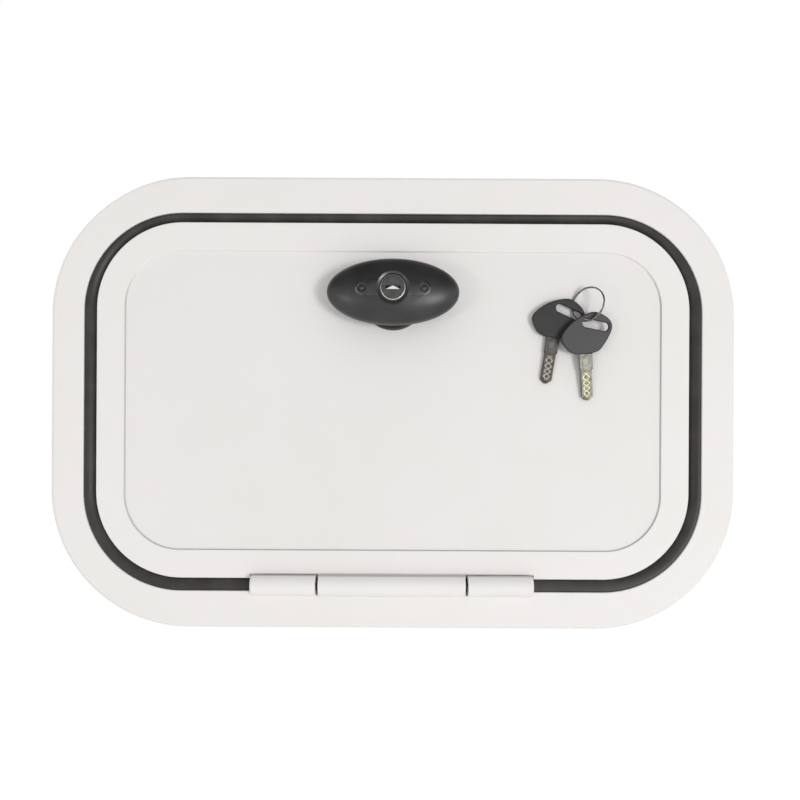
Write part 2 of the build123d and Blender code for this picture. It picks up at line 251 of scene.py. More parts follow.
# Finishes
class Value:
    """A node's output that takes part in sums; each sum adds a Math node."""

    def __init__(self, finish, socket):
        self.finish = finish
        self.socket = socket

    def _math(self, operation, first, second):
        return self.finish.node("ShaderNodeMath", {"operation": operation}, {0: first, 1: second})

    def __add__(self, other):
        return self._math("ADD", self, other)

    def __sub__(self, other):
        return self._math("SUBTRACT", self, other)

    def __rsub__(self, other):
        return self._math("SUBTRACT", other, self)

    def __mul__(self, other):
        return self._math("MULTIPLY", self, other)

    __radd__ = __add__
    __rmul__ = __mul__


class Finish:
    """One node tree under construction, of a material or the world."""

    def __init__(self, owner):
        owner.use_nodes = True
        self.owner = owner
        self.tree = owner.node_tree
        self.tree.nodes.clear()

    def node(self, kind, settings=None, sockets=None, output=0):
        """Adds any node: its settings first, then the values or links of its sockets."""
        made = self.tree.nodes.new(kind)
        for key, setting in (settings or {}).items():
            if key == "stops":
                ramp = made.color_ramp.elements
                for element, (place, level) in zip(ramp, setting):
                    element.position = place
                    element.color = (level, level, level, 1.0)
            else:
                setattr(made, key, setting)
        for key, given in (sockets or {}).items():
            if isinstance(given, Value):
                self.tree.links.new(given.socket, made.inputs[key])
            else:
                made.inputs[key].default_value = given
        return Value(self, made.outputs[output]) if made.outputs else None

    def place(self, stretch=(1.0, 1.0, 1.0)):
        """Coordinates on the piece itself, in metres, stretched along each axis."""
        here = self.node("ShaderNodeTexCoord", output="Object")
        return self.node("ShaderNodeMapping", sockets={"Vector": here, "Scale": stretch})

    def noise(self, scale, detail=2.0, stretch=(1.0, 1.0, 1.0)):
        place = self.place(stretch)
        sockets = {"Vector": place, "Scale": scale, "Detail": detail, "Roughness": 0.5}
        return self.node("ShaderNodeTexNoise", sockets=sockets)

    def band(self, value, low, high):
        """0 below `low`, 1 above `high`."""
        return self.node("ShaderNodeValToRGB", {"stops": [(low, 0.0), (high, 1.0)]}, {"Fac": value})

    def mix(self, factor, first, second):
        """Two colours mixed."""
        sockets = {0: factor, 6: first, 7: second}
        return self.node("ShaderNodeMix", {"data_type": "RGBA"}, sockets, output=2)

    def patches(self, value, low, high, first, second):
        """The first colour, with the second where the value rises from `low` to `high`."""
        return self.mix(self.band(value, low, high), first, second)

    def bump(self, height, strength, distance):
        sockets = {"Height": height, "Strength": strength, "Distance": distance}
        return self.node("ShaderNodeBump", sockets=sockets)

    def surface(self, **sockets):
        """The Principled surface; a key's underscores stand for the spaces of a socket's name."""
        named = {key.replace("_", " "): given for key, given in sockets.items()}
        shader = self.node("ShaderNodeBsdfPrincipled", sockets=named)
        self.node("ShaderNodeOutputMaterial", sockets={"Surface": shader})
        return self.owner


def finish_once(make):
    """A material maker that makes its material once and hands it out again."""

    def fetch(*kind):
        name = "_".join((*kind, make.__name__))
        found = bpy.data.materials.get(name)
        if found:
            return found
        project = bpy.context.scene.luggage_door
        return make(Finish(bpy.data.materials.new(name)), project, *kind)

    return fetch


def toned(paint, gain):
    """A colour made darker or lighter."""
    return (*(gain * part for part in paint[:3]), 1.0)


@finish_once
def white_moulding(finish, project, place="border"):
    """Satin white plastic: fine grain, faint drift and rubbed gloss; the step's white is duller as
    painted shade, paler toward the top as painted light.
    """
    drift = finish.noise(9.0, 3.0)
    tone = {"border": 1.0, "field": project.door.field_tone, "step": project.door.step_tone}[place]
    white, shade = project.frame.plastic, project.frame.plastic_shade
    paint = finish.patches(drift, 0.36, 0.66, toned(white, tone), toned(shade, tone))
    # Painted shade on the field's wall, fading to near full white along the upper side as painted
    # light
    if place == "step":
        height = finish.node("ShaderNodeSeparateXYZ", sockets={"Vector": finish.place()}, output=2)
        paint = finish.patches(height * 10.0, 0.72, 0.98, paint, toned(white, 0.97))
    grain = finish.noise(1500.0, 2.0)
    swell = finish.noise(38.0, 1.0)
    gloss = finish.noise(60.0, 4.0)
    return finish.surface(
        Base_Color=paint,
        Roughness=0.46 + 0.1 * gloss,
        Normal=finish.bump(grain * 0.35 + swell, 0.12, 0.05 * MM),
        Specular_IOR_Level=0.3,
    )


@finish_once
def seal_rubber(finish, project):
    """Extruded rubber: a fine grain, pale bloom and a dull sheen."""
    bloom = finish.noise(55.0, 4.0)
    grain = finish.noise(1900.0, 3.0)
    return finish.surface(
        Base_Color=finish.patches(bloom, 0.42, 0.72, project.seal.rubber, project.seal.bloom),
        Roughness=0.32 + 0.16 * bloom,
        Normal=finish.bump(grain, 0.25, 0.05 * MM),
        Specular_IOR_Level=0.26,
    )


@finish_once
def grip_plastic(finish, project):
    """Black plastic with an eroded grain, rubbed a little smoother in patches."""
    grain = finish.noise(1300.0, 3.0)
    rubbed = finish.noise(42.0, 3.0)
    black, worn = project.handle.grip_black, project.handle.grip_worn
    return finish.surface(
        Base_Color=finish.patches(rubbed, 0.4, 0.75, black, worn),
        Roughness=0.44 - 0.14 * rubbed,
        Normal=finish.bump(grain, 0.3, 0.06 * MM),
        Specular_IOR_Level=0.5,
    )


@finish_once
def lock_trim(finish, project):
    """The lock's surround: the same black, smoother and glossier, with fine rubbing."""
    rubbed = finish.noise(160.0, 4.0)
    grain = finish.noise(1700.0, 2.0)
    black, worn = project.handle.grip_black, project.handle.grip_worn
    return finish.surface(
        Base_Color=finish.patches(rubbed, 0.45, 0.75, black, worn),
        Roughness=0.24 + 0.14 * rubbed,
        Normal=finish.bump(grain, 0.15, 0.04 * MM),
        Specular_IOR_Level=0.6,
    )


@finish_once
def lock_zinc(finish, project):
    """Dark painted zinc with paler specks and fine lines along the plug."""
    ridges = finish.noise(900.0, 2.0, (1.0, 0.05, 1.0))
    specks = finish.noise(240.0, 4.0)
    return finish.surface(
        Base_Color=finish.patches(specks, 0.4, 0.7, project.lock.zinc, (0.11, 0.112, 0.108, 1.0)),
        Metallic=0.55,
        Roughness=0.3 + 0.16 * specks,
        Normal=finish.bump(ridges, 0.15, 0.04 * MM),
    )


@finish_once
def bright_steel(finish, _project):
    """Polished nickel plate with faint wiping marks."""
    wiped = finish.noise(420.0, 3.0, (1.0, 1.0, 0.2))
    return finish.surface(
        Base_Color=finish.mix(wiped, (0.62, 0.62, 0.6, 1.0), (0.78, 0.77, 0.74, 1.0)),
        Metallic=1.0,
        Roughness=0.16 + 0.12 * wiped,
    )


@finish_once
def ring_steel(finish, _project):
    """Hardened wire, dark from its oil, rubbed bright in places."""
    rubbed = finish.noise(330.0, 3.0)
    oiled, bright = (0.15, 0.15, 0.147, 1.0), (0.36, 0.356, 0.346, 1.0)
    return finish.surface(
        Base_Color=finish.patches(rubbed, 0.42, 0.72, oiled, bright),
        Metallic=1.0,
        Roughness=0.2 + 0.14 * rubbed,
    )


@finish_once
def plated_steel(finish, _project):
    """Zinc plate: a soft spangle and brushing along the part."""
    spangle = finish.noise(150.0, 4.0)
    brushed = finish.noise(700.0, 2.0, (0.08, 1.0, 1.0))
    dull, pale = (0.5, 0.5, 0.49, 1.0), (0.64, 0.63, 0.6, 1.0)
    return finish.surface(
        Base_Color=finish.patches(spangle, 0.35, 0.7, dull, pale),
        Metallic=1.0,
        Roughness=0.3 + 0.16 * spangle,
        Normal=finish.bump(brushed, 0.1, 0.04 * MM),
    )


@finish_once
def dark_steel(finish, _project):
    """Blackened steel with oily patches."""
    oil = finish.noise(300.0, 3.0)
    return finish.surface(
        Base_Color=finish.mix(oil, (0.03, 0.03, 0.03, 1.0), (0.07, 0.068, 0.065, 1.0)),
        Metallic=1.0,
        Roughness=0.35 + 0.2 * oil,
    )


@finish_once
def key_head(finish, project, key):
    """Dark grey moulded bow with a pebbled grain."""
    pebble = finish.noise(1100.0, 3.0)
    handled = finish.noise(120.0, 3.0)
    head = getattr(project.keys, f"{key}_head")
    return finish.surface(
        Base_Color=finish.patches(handled, 0.3, 0.8, head, toned(head, 1.6)),
        Roughness=0.42 + 0.12 * handled,
        Normal=finish.bump(pebble, 0.3, 0.06 * MM),
        Specular_IOR_Level=0.38,
    )


@finish_once
def key_nickel(finish, project, key):
    """Nickel silver blade with scratches along it."""
    scratches = finish.noise(2600.0, 3.0, (1.0, 1.0, 0.06))
    tarnish = finish.noise(260.0, 3.0)
    nickel = getattr(project.keys, f"{key}_nickel")
    return finish.surface(
        Base_Color=finish.patches(tarnish, 0.4, 0.7, nickel, toned(nickel, 0.6)),
        Metallic=1.0,
        Roughness=0.42 + 0.2 * tarnish,
        Normal=finish.bump(scratches, 0.2, 0.04 * MM),
    )


@finish_once
def key_track(finish, project, key):
    """Freshly milled brass with cutter marks across the track."""
    marks = finish.noise(1600.0, 2.0, (0.3, 1.0, 1.0))
    red, green, blue, _alpha = brass = getattr(project.keys, f"{key}_brass")
    return finish.surface(
        Base_Color=finish.mix(marks, brass, (0.8 * red, 0.76 * green, 0.64 * blue, 1.0)),
        Metallic=1.0,
        Roughness=0.36 + 0.18 * marks,
        Normal=finish.bump(marks, 0.25, 0.04 * MM),
    )


@finish_once
def key_pad(finish, project, key):
    """The ground pad on a key's shank, paler than its blade."""
    ground = finish.noise(900.0, 2.0, (1.0, 1.0, 0.2))
    nickel = getattr(project.keys, f"{key}_nickel")
    return finish.surface(
        Base_Color=finish.mix(ground, toned(nickel, 1.25), toned(nickel, 1.75)),
        Metallic=1.0,
        Roughness=0.5 + 0.16 * ground,
    )


# Shapes
class Outline(NamedTuple):
    """A rounded rectangle in the front view."""

    width: float
    height: float
    radius: float
    rise: float = 0.0

    def inset(self, by):
        return Outline(self.width - 2 * by, self.height - 2 * by, self.radius - by, self.rise)

    def at(self, depth, stops=()):
        """Its points at y = depth, with extra ones at the `stops` along the lower side."""
        half_x = self.width / 2 - self.radius
        half_z = self.height / 2 - self.radius
        points = [Vector((x, depth, self.rise - self.height / 2)) for x in stops]
        for quarter, (side, level) in enumerate(((1, -1), (1, 1), (-1, 1), (-1, -1))):
            for step in range(CORNER_STEPS + 1):
                turn = (quarter - 1 + step / CORNER_STEPS) * math.pi / 2
                x = side * half_x + self.radius * math.cos(turn)
                z = self.rise + level * half_z + self.radius * math.sin(turn)
                points.append(Vector((x, depth, z)))
        return points


def node_outline(node, radius, grow=0.0):
    """The outline of a node's box in the front view, and the box's front and back."""
    low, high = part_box(node)
    outline = Outline(high.x - low.x, high.z - low.z, radius, (low.z + high.z) / 2)
    return outline.inset(-grow), low.y, high.y


def rounding(radius, steps=ROUNDING_STEPS):
    """Steps round an edge, as distances from its two sides: from (radius, 0) to (0, radius)."""
    for step in range(steps + 1):
        turn = step / steps * math.pi / 2
        yield radius * (1 - math.sin(turn)), radius * (1 - math.cos(turn))


def loft(rings, closed=False):
    """Points and faces of a skin over like rings; `closed` joins the last ring to the first."""
    count = len(rings[0])
    points = [point for ring in rings for point in ring]
    faces = []
    for lower in range(len(rings) if closed else len(rings) - 1):
        foot, head = lower * count, (lower + 1) % len(rings) * count
        for here in range(count):
            there = (here + 1) % count
            faces.append((foot + here, foot + there, head + there, head + here))
    if not closed:
        faces.append(tuple(range(count)))
        faces.append(tuple(range(len(points) - count, len(points))))
    return points, faces


def clean_mesh(mesh):
    """Welds doubled points, turns all faces outward and sets smooth shading with sharp edges."""
    work = bmesh.new()
    work.from_mesh(mesh)
    bmesh.ops.remove_doubles(work, verts=work.verts, dist=WELD)
    bmesh.ops.dissolve_degenerate(work, edges=work.edges, dist=SLIVER)
    bmesh.ops.recalc_face_normals(work, faces=work.faces)
    work.to_mesh(mesh)
    work.free()
    mesh.shade_smooth()
    mesh.set_sharp_from_angle(angle=SHARP_ANGLE)
    return mesh


def mesh_of(name, points, faces):
    mesh = bpy.data.meshes.new(name)
    mesh.from_pydata(points, [], faces)
    return clean_mesh(mesh)


def new_object(name, data):
    made = bpy.data.objects.new(name, data)
    bpy.context.scene.collection.objects.link(made)
    return made


def evaluated_mesh(holder, *helpers):
    """What an object's curve or modifiers give; the object and its helpers are then removed."""
    ready = holder.evaluated_get(bpy.context.evaluated_depsgraph_get())
    mesh = bpy.data.meshes.new_from_object(ready)
    for spent in (holder, *helpers):
        bpy.data.objects.remove(spent)
    return mesh


def add_piece(name, mesh, finish, body, slot, *replaced, matrix=None):
    """Sets a finished mesh in place on its body, standing for the nodes it replaces."""
    piece = new_object(name, mesh)
    if matrix:
        piece.matrix_world = matrix
    if finish and not mesh.materials:
        mesh.materials.append(finish)
    shading = piece.modifiers.new("even_shading", "WEIGHTED_NORMAL")
    shading.keep_sharp = True
    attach(piece, body)
    if replaced:
        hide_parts(*replaced)
    return piece


def finish_node(node, finish):
    """Gives a node that shows as it is a finish of its own."""
    NODES[node].data.materials.clear()
    NODES[node].data.materials.append(finish)


def finish_faces(mesh, finish, covers):
    """Gives a finish of their own to the faces whose centres `covers` accepts."""
    mesh.materials.append(finish)
    for face in mesh.polygons:
        if covers(*face.center):
            face.material_index = len(mesh.materials) - 1


def around(count):
    """Even turns round a circle."""
    return [index / count * math.tau for index in range(count)]


def on_handle(x, depth, z):
    """A point given across and up from the handle's axis."""
    return Vector((HANDLE_AXIS.x + x, depth, HANDLE_AXIS.z + z))


def handle_ring(turns, reach, depth, aside=0.0):
    """A ring round the handle's axis, or round a place `aside` from it.

    `reach` is one radius or a list of one a turn; `depth` is a y, or gives it at (x, z).
    """
    sizes = reach if isinstance(reach, list) else [reach] * len(turns)
    ring = []
    for turn, size in zip(turns, sizes):
        x, z = aside + size * math.cos(turn), size * math.sin(turn)
        ring.append(on_handle(x, depth(x, z) if callable(depth) else depth, z))
    return ring


def handle_rings(turns, levels):
    """Rings round the handle's axis from pairs of reach and depth."""
    return [handle_ring(turns, reach, depth) for reach, depth in levels]


def relieve(rings, radius, spans, straight_back=False):
    """Pushes points inside the barrel's space, within the spans of x, out to its surface."""
    near = 0.001 * MM
    for point in (point for ring in rings for point in ring):
        arm = Vector((0.0, point.y - HINGE_AXIS.y, point.z - HINGE_AXIS.z))
        if arm.length >= radius:
            continue
        if any(low - near <= point.x <= high + near for low, high in spans):
            if straight_back:
                arm.y = math.sqrt(radius**2 - arm.z**2)
            else:
                arm = arm.normalized() * radius
            point.y = HINGE_AXIS.y + arm.y
            point.z = HINGE_AXIS.z + arm.z


def plate_mesh(name, outlines, thickness, edge_round):
    """A flat plate in the front view, its first outline less the others, with rounded edges."""
    curve = bpy.data.curves.new(name, "CURVE")
    curve.dimensions = "2D"
    curve.fill_mode = "BOTH"
    curve.extrude = thickness / 2 - edge_round
    curve.bevel_depth = edge_round
    curve.bevel_resolution = 3
    curve.offset = -edge_round
    for outline in outlines:
        spline = curve.splines.new("POLY")
        spline.points.add(len(outline) - 1)
        spline.use_cyclic_u = True
        for point, (x, z) in zip(spline.points, outline):
            point.co = (x, z, 0.0, 1.0)
    mesh = evaluated_mesh(new_object(name, curve))
    mesh.name = name
    mesh.transform(Matrix.Rotation(math.pi / 2, 4, "X"))
    return clean_mesh(mesh)


def slot_outline(start, end, half_width, steps=12):
    """A slot with round ends between two points."""
    start, end = Vector(start), Vector(end)
    along = math.atan2(end.y - start.y, end.x - start.x)
    points = []
    for centre, turn in ((end, along - math.pi / 2), (start, along + math.pi / 2)):
        for step in range(steps + 1):
            here = turn + step / steps * math.pi
            x, z = half_width * math.cos(here), half_width * math.sin(here)
            points.append((centre.x + x, centre.y + z))
    return points


def spline_points(knots, steps=8):
    """Points on a smooth line through the knots."""
    ends = [2 * Vector(knots[0]) - Vector(knots[1]), 2 * Vector(knots[-1]) - Vector(knots[-2])]
    guide = [ends[0], *map(Vector, knots), ends[1]]
    points = []
    for before, first, second, after in zip(guide, guide[1:], guide[2:], guide[3:]):
        for step in range(steps):
            t = step / steps
            bend = 2 * before - 5 * first + 4 * second - after
            twist = 3 * first - before - 3 * second + after
            points.append((2 * first + t * (second - before) + t * t * bend + t**3 * twist) / 2)
    return [tuple(point) for point in points] + [tuple(knots[-1])]


# Pieces

# Extra loops on either side of the flange's and the door's edges, in mm, for the hinge's relief
FLANGE_LOOPS = (4.0, 3.2, 2.4, 1.6)
REBATE_LOOPS = (1.6, 2.4, 3.2, 4.2)
BORDER_LOOPS = (4.0, 3.3, 2.6, 1.8)
SKIRT_LOOPS = (1.8, 2.6, 3.4, 4.2)
# Painted shade along the hinge's crease, in mm about the barrel's top
CREASE_SHADE = (-0.9, 0.3)


def barrel_spans(settings):
    """Half lengths in x of the middle knuckle and of the whole barrel, and stops beside them."""
    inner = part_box("door_hinge_knuckle")[1].x + settings.half_gap
    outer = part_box("hinge_knuckle_right")[1].x + 2 * settings.half_gap
    step = 0.05 * MM
    stops = sorted(side * x for side in (-1, 1) for x in (inner - step, inner, outer, outer + step))
    return inner, outer, stops


def barrel_radius(clearance=0.0):
    low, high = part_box("door_hinge_knuckle")
    return (high.z - low.z) / 2 + clearance


class FrameMoulding(bpy.types.Operator):
    """Mould the flanged frame with its collar and lip"""

    bl_idname = "luggage_door.frame_moulding"
    bl_label = "Frame moulding"

    def execute(self, context):
        project = context.scene.luggage_door
        settings = project.frame
        flange, front, back = node_outline("frame_moulding", settings.corner_radius)
        radius, seat_gap = settings.rebate_radius, project.seal.seat_gap
        rebate, _crown, lip_front = node_outline("rubber_seal", radius, seat_gap)
        collar = rebate.inset(-settings.collar_wall)
        opening = rebate.inset(settings.lip_reach)
        lip_back = lip_front + settings.lip_thickness
        inner, _outer, stops = barrel_spans(project.hinge)
        edge = rounding(settings.edge_radius, steps=8)
        rim = rounding(settings.rim_radius)
        levels = [(flange, 0.0)]
        levels += [(flange.inset(away), front + drop) for drop, away in edge]
        levels += [(rebate.inset(-out * MM), front) for out in FLANGE_LOOPS]
        levels += [(rebate.inset(-out), front + drop) for out, drop in rim]
        levels += [(rebate, front + down * MM) for down in REBATE_LOOPS]
        levels += [(rebate, lip_front), (opening, lip_front), (opening, lip_back)]
        levels += [(rebate, lip_back), (rebate, back), (collar, back), (collar, 0.0)]
        rings = [outline.at(depth, stops) for outline, depth in levels]
        relieve(rings, barrel_radius(project.hinge.clearance), [(-inner, inner)])
        mesh = mesh_of("frame_shell", *loft(rings, closed=True))
        add_piece("frame_shell", mesh, white_moulding(), "frame", "white_abs", "frame_moulding")
        return {"FINISHED"}


class RubberSeal(bpy.types.Operator):
    """Run the rubber bulb seal round the door"""

    bl_idname = "luggage_door.rubber_seal"
    bl_label = "Rubber seal"

    def execute(self, context):
        project = context.scene.luggage_door
        settings = project.seal
        wall, _crown, back = node_outline("rubber_seal", project.frame.rebate_radius)
        door = node_outline("door_outer_skin", project.door.corner_radius, settings.door_gap)[0]
        opening = wall.inset(project.frame.lip_reach)
        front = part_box("frame_moulding")[0].y
        crest = front + settings.crest_sunk
        foot_top = back - settings.foot_thickness
        _inner, outer, stops = barrel_spans(project.hinge)
        outside, inside = wall.at(0.0, stops), door.at(0.0, stops)
        bulb_steps = 24
        pressed_foot, pressed_height = door.rise - door.height / 2, door.radius
        rings = [wall.at(back, stops)]
        for step in range(bulb_steps + 1):
            turn = step / bulb_steps * math.pi
            outer_half = turn < math.pi / 2
            square = 2 / (settings.outer_power if outer_half else settings.inner_power)
            reach = settings.crest_place if outer_half else 1 - settings.crest_place
            aside = math.copysign(abs(math.cos(turn)) ** square, math.cos(turn))
            across = settings.crest_place - reach * aside
            sunk = 1 - abs(math.sin(turn)) ** square
            ring = [start.lerp(end, across) for start, end in zip(outside, inside)]
            for point in ring:
                freed = min(1.0, max(0.0, (point.z - pressed_foot) / pressed_height))
                fall = settings.low_fall + freed * (settings.inner_fall - settings.low_fall)
                point.y = crest + sunk * (settings.outer_fall if outer_half else fall)
            rings.append(ring)
        rings += [door.at(foot_top, stops), opening.at(foot_top, stops), opening.at(back, stops)]
        room = barrel_radius(project.hinge.clearance)
        relieve(rings, room, [(-outer, outer)], straight_back=True)
        mesh = mesh_of("seal_bulb", *loft(rings, closed=True))
        add_piece("seal_bulb", mesh, seal_rubber(), "frame", "black_rubber", "rubber_seal")
        return {"FINISHED"}


class DoorPanel(bpy.types.Operator):
    """Form the door's skin with its sunk field, and finish its liner"""

    bl_idname = "luggage_door.door_panel"
    bl_label = "Door panel"

    def execute(self, context):
        project = context.scene.luggage_door
        settings = project.door
        outer, front, back = node_outline("door_outer_skin", settings.corner_radius)
        width, height, _radius, rise = outer.inset(settings.border)
        field = Outline(width, height, settings.field_radius, rise)
        run = settings.field_depth * math.tan(settings.field_slope)
        edge = settings.field_edge
        floor = front + settings.field_depth
        draft = math.tan(settings.skirt_draft)
        inner, reach, stops = barrel_spans(project.hinge)
        levels = [(field, floor), (field.inset(edge - run), front + edge)]
        levels += [(field.inset(-run), front + 0.3 * edge), (field.inset(-run - edge), front)]
        levels += [(outer.inset(away * MM), front) for away in BORDER_LOOPS]
        edge_round = rounding(settings.edge_radius)
        levels += [(outer.inset(away), front + drop) for away, drop in edge_round]
        levels += [(outer.inset(down * MM * draft), front + down * MM) for down in SKIRT_LOOPS]
        taper = (back - front) * draft
        levels += [(outer.inset(taper), back), (outer.inset(taper + settings.skirt_wall), back)]
        hollow = outer.inset(settings.skirt_wall + settings.skin * draft)
        levels.append((hollow, front + settings.skin))
        rings = [outline.at(depth, stops) for outline, depth in levels]
        relieve(rings, barrel_radius(project.hinge.clearance), [(-reach, -inner), (inner, reach)])
        mesh = mesh_of("door_skin", *loft(rings))
        mesh.materials.append(white_moulding())
        half_x, half_z = field.width / 2 + 2 * MM, field.height / 2 + 2 * MM
        near = 0.01 * MM

        def sunk(top, foot):
            return lambda x, y, z: abs(x) < half_x and abs(z - rise) < half_z and top < y < foot

        finish_faces(mesh, white_moulding("field"), sunk(floor - near, floor + near))
        finish_faces(mesh, white_moulding("step"), sunk(front + 0.2 * edge, floor - near))
        add_piece("door_skin", mesh, None, "door", "white_abs", "door_outer_skin")
        finish_node("door_inner_liner", white_moulding())
        return {"FINISHED"}


def knuckle_reach(turn, radius, behind, foot, fillet):
    """Distance from the hinge's axis to a knuckle's face, `turn` from straight back to its root."""
    back, down = math.cos(turn), math.sin(turn)
    if min(back, down) <= 1e-6:
        return radius
    plane = behind / back
    block = min(plane, radius / down)
    cut = max(plane, foot / down)
    reach = min(max(radius, block), cut)
    centre = (behind - fillet, radius + fillet)
    middle = back * centre[0] + down * centre[1]
    spare = middle**2 - centre[0] ** 2 - centre[1] ** 2 + fillet**2
    if spare > 0:
        hit = middle - math.sqrt(spare)
        if hit * back >= centre[0]:
            reach = max(reach, min(hit, plane))
    elif plane * down > radius:
        reach = max(reach, min(plane, (radius + fillet) / down))
    return reach


def knuckle_mesh(name, node, root, seat, rounds, settings):
    """A bored knuckle along its node's box, its root up (+1) or down (-1) to its seat."""
    low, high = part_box(node)
    radius = barrel_radius() - (settings.outer_slim if root < 0 else 0.0)
    turns = around(KNUCKLE_STEPS)
    reach = []
    for turn in turns:
        to_root = math.atan2(root * math.sin(turn), math.cos(turn))
        reach.append(knuckle_reach(to_root, radius, *seat, settings.root_fillet))

    def section(x, shrink=None):
        ring = []
        for turn, full in zip(turns, reach):
            size = settings.bore_radius if shrink is None else full - shrink
            y, z = size * math.cos(turn), size * math.sin(turn)
            ring.append(Vector((x, HINGE_AXIS.y + y, HINGE_AXIS.z + z)))
        return ring

    left, right = rounds
    start = low.x + settings.open_gap * (left == settings.inner_round)
    end = high.x - settings.open_gap * (right == settings.inner_round)
    rings = [section(start)]
    rings += [section(start + in_x, shrink) for shrink, in_x in rounding(left)]
    rings += [section(end - in_x, shrink) for shrink, in_x in reversed(list(rounding(right)))]
    rings += [section(end)]
    return mesh_of(name, *loft(rings, closed=True))


class Hinge(bpy.types.Operator):
    """Make the three knuckles of the hinge and finish its pin"""

    bl_idname = "luggage_door.hinge"
    bl_label = "Hinge"

    def execute(self, context):
        project = context.scene.luggage_door
        settings = project.hinge
        flange_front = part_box("frame_moulding")[0].y
        door_low, _door_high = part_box("door_outer_skin")
        rebate_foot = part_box("rubber_seal")[0].z - project.seal.seat_gap
        outer_end, gap_end = settings.end_round, settings.inner_round
        frame_seat = (flange_front - HINGE_AXIS.y, HINGE_AXIS.z - rebate_foot)
        door_seat = (door_low.y - HINGE_AXIS.y, door_low.z - HINGE_AXIS.z)
        knuckles = (
            ("knuckle_left", "hinge_knuckle_left", "frame", -1, frame_seat, (outer_end, gap_end)),
            ("knuckle_middle", "door_hinge_knuckle", "door", 1, door_seat, (gap_end, gap_end)),
            ("knuckle_right", "hinge_knuckle_right", "frame", -1, frame_seat, (gap_end, outer_end)),
        )
        crease_shade_low, crease_shade_high = (HINGE_AXIS.z + barrel_radius() + up * MM for up in CREASE_SHADE)

        def in_crease(_x, _y, z):
            return crease_shade_low < z < crease_shade_high

        for name, node, body, root, seat, rounds in knuckles:
            mesh = knuckle_mesh(name, node, root, seat, rounds, settings)
            mesh.materials.append(white_moulding())
            # The crease along each knuckle's top takes the step's duller white: painted shade
            finish_faces(mesh, white_moulding("step"), in_crease)
            add_piece(name, mesh, None, body, "white_abs", node)
        finish_node("hinge_pin", dark_steel())
        return {"FINISHED"}


class Dome(NamedTuple):
    """The grip's domed front: half sizes, underside, widest level, height and power."""

    half_x: float
    half_z: float
    under: float
    belly: float
    height: float
    power: float

    def front(self, x, z):
        """The y of the grip's front at a place across and up from the handle's axis."""
        out = min(1.0, (x / self.half_x) ** 2 + (z / self.half_z) ** 2)
        return self.belly - self.height * (1 - out) ** (1 / self.power)


def grip_dome(settings):
    low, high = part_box("handle_grip")
    half_x, half_z = (high.x - low.x) / 2, (high.z - low.z) / 2
    belly = high.y - settings.belly
    return Dome(half_x, half_z, high.y, belly, settings.dome_height, settings.dome_power)


class Handle(bpy.types.Operator):
    """Shape the handle's base and its oval grip"""

    bl_idname = "luggage_door.handle"
    bl_label = "Handle"

    def execute(self, context):
        settings = context.scene.luggage_door.handle
        self.make_base(settings)
        self.make_grip(settings)
        return {"FINISHED"}

    def make_base(self, settings):
        low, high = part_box("handle_base")
        radius = (high.x - low.x) / 2
        hole, neck, chamfer = settings.spindle_hole, settings.neck_top, 0.4 * MM
        front = high.y - settings.base_thickness
        profile = [(hole, high.y), (radius, high.y)]
        profile += [(radius - away, front + drop) for drop, away in rounding(settings.base_edge)]
        fillet = rounding(settings.neck_fillet)
        profile += [(settings.neck_foot + out, front - rise) for out, rise in fillet]
        profile += [(neck, low.y + chamfer), (neck - chamfer, low.y), (hole, low.y)]
        rings = handle_rings(around(TURN_STEPS), profile)
        mesh = mesh_of("handle_foot", *loft(rings, closed=True))
        add_piece("handle_foot", mesh, grip_plastic(), "door", "black_plastic", "handle_base")

    def make_grip(self, settings):
        dome = grip_dome(settings)
        half_x, half_z, under, belly, full, fullness = dome
        underside, heel, smallest = 0.9, 0.955, 0.48
        belly_steps, dome_steps = 6, 32
        shares = [(underside, under), (underside + 0.03, under - 0.15 * MM)]
        for step in range(belly_steps + 1):
            rise = step / belly_steps
            out = heel + (1 - heel) * math.sin(rise * math.pi / 2)
            shares.append((out, under + rise * (belly - under)))
        for step in range(1, dome_steps + 1):
            out = math.cos(step / dome_steps * math.acos(smallest))
            shares.append((out, belly - full * (1 - out**2) ** (1 / fullness)))
        turns = around(TURN_STEPS)
        rings = []
        for out, depth in shares:
            wide, tall = half_x * out, half_z * out
            places = [(wide * math.cos(turn), tall * math.sin(turn)) for turn in turns]
            rings.append([on_handle(x, depth, z) for x, z in places])
        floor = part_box("lock_plug")[1].y
        rings += handle_rings(turns, [(settings.lock_bore, depth) for depth in (dome.front, floor)])
        mesh = mesh_of("oval_grip", *loft(rings))
        add_piece("oval_grip", mesh, grip_plastic(), "handle", "black_plastic", "handle_grip")


def stadium_reach(turn, half_length, half_width):
    """Distance from the middle of a slot with round ends to its edge, in the direction `turn`."""
    across, up = abs(math.cos(turn)), abs(math.sin(turn))
    straight = half_length - half_width
    if up * straight > across * half_width:
        return half_width / up
    return straight * across + math.sqrt(max(0.0, half_width**2 - (straight * up) ** 2))


def wing_turns():
    """Directions round the lock, close together across the wings."""
    close, wide, wing = math.radians(0.8), math.radians(4), math.radians(20)
    turns, turn = [], 0.0
    while turn < math.tau - close / 2:
        turns.append(turn)
        near = abs(math.remainder(turn, math.pi)) < wing
        turn += close if near else wide
    return turns


